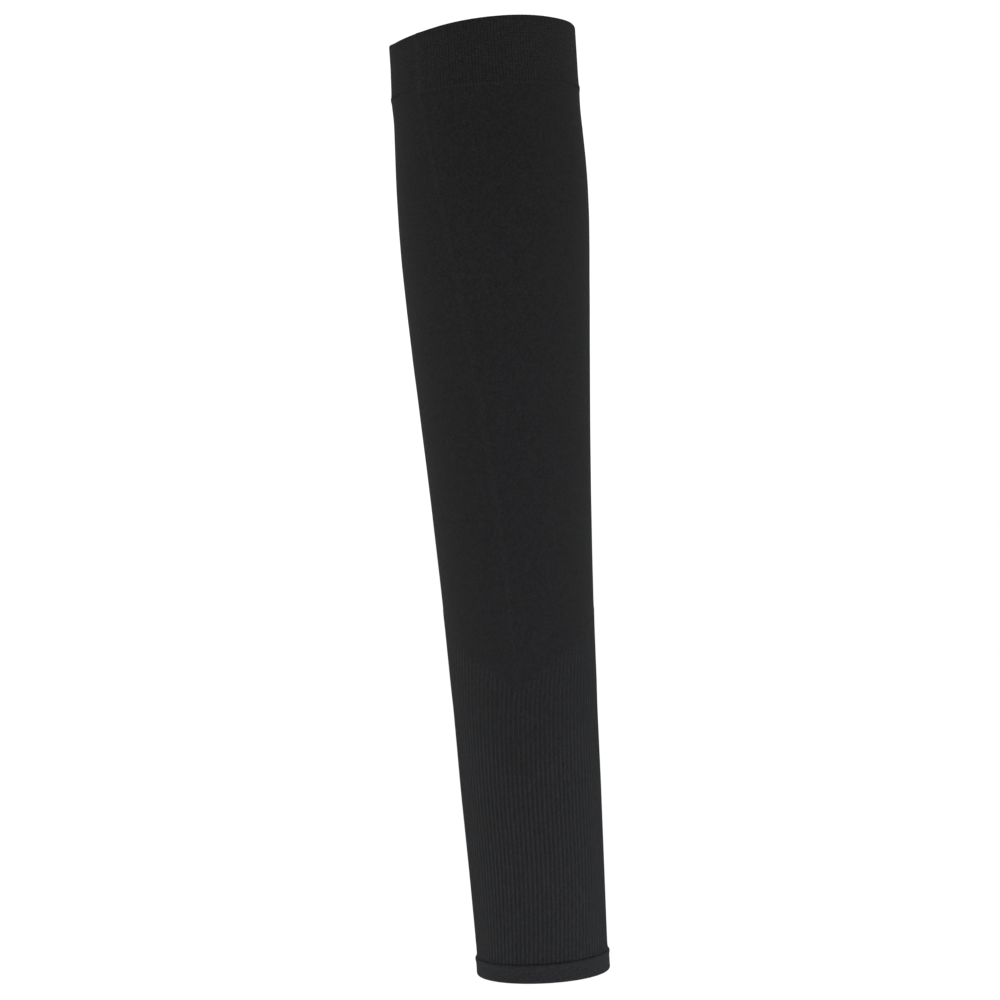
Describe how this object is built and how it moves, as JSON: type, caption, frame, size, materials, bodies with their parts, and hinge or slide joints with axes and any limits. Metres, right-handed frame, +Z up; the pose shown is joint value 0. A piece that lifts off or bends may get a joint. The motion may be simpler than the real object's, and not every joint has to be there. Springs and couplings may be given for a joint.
{
  "type": "seamless sport arm sleeve",
  "caption": "Black seamless knitted arm sleeve in its worn form: plain tube ribbed over the forearm, turned welt at the upper arm and turned hem at the wrist.",
  "frame": {"origin": "centre of the upper opening, at the mean height of its leaning rim", "axes": "+Z up the arm along the sleeve towards the shoulder, -Y towards the viewer of its front, +X to that viewer's right"},
  "size_m": [0.0857, 0.0822, 0.4243],
  "materials": {
    "plain_knit": "matte fine black plain knit",
    "ribbed_knit": "matte black ribbed knit",
    "turned_knit": "matte black knit turned double"
  },
  "bodies": {
    "root": {"upper_welt": "turned_knit", "plain_tube": "plain_knit", "ribbed_tube": "ribbed_knit", "wrist_hem": "turned_knit"}
  },
  "joints": []
}
